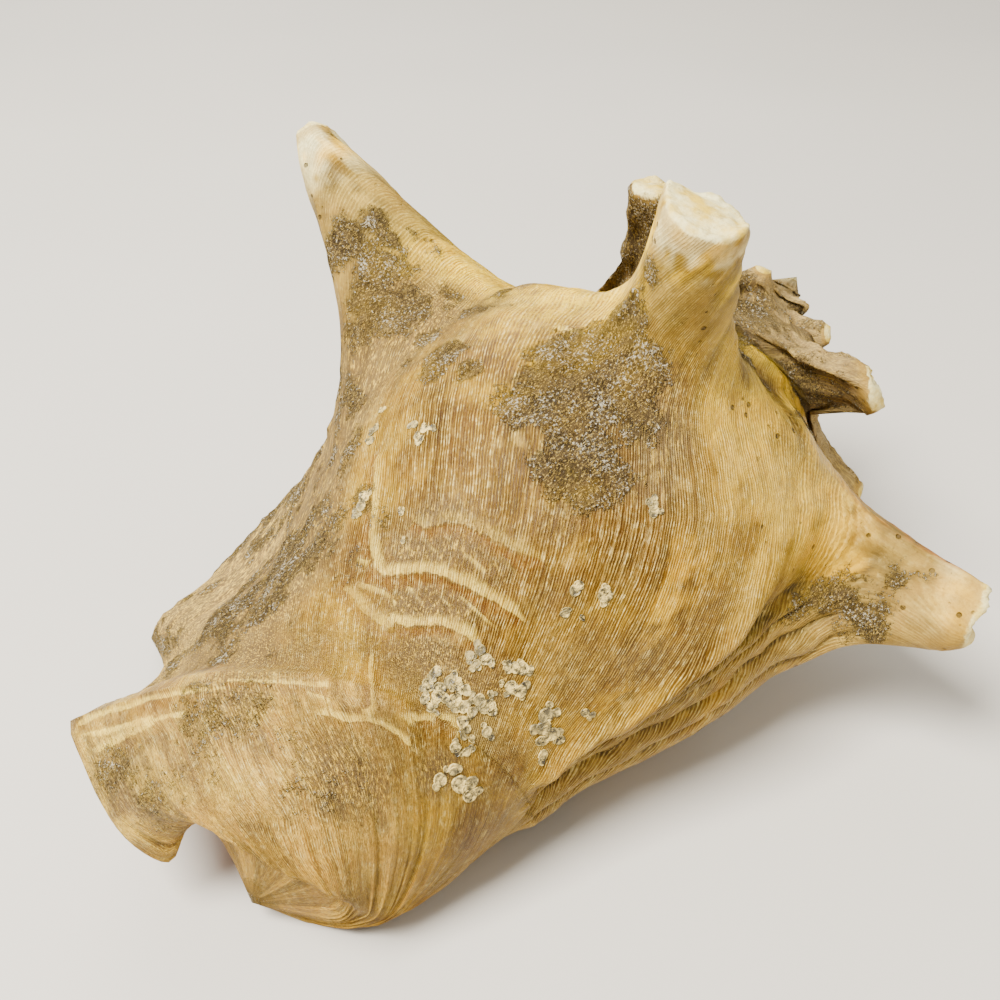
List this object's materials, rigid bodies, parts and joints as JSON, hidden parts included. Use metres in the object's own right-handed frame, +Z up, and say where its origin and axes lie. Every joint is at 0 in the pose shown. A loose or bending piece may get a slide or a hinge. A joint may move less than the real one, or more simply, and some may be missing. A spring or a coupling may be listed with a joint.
{
  "type": "queen conch shell",
  "caption": "Sea snail shell lying on its aperture: knobbed spire, broad last whorl with long blunt spines, flared lip and front canal.",
  "frame": {"origin": "centre of the footprint of the bounding box, on the table the shell lies on", "axes": "+X towards the spire, +Y towards the outer lip, +Z up; the shell lies on its lip, its columella end and one hidden spine"},
  "size_m": [0.2183, 0.1869, 0.1381],
  "materials": {
    "worn_shell": "matt to silky, worn, with fine growth lines and brown crust"
  },
  "bodies": {
    "root": {"conch_shell": "worn_shell"}
  },
  "joints": []
}
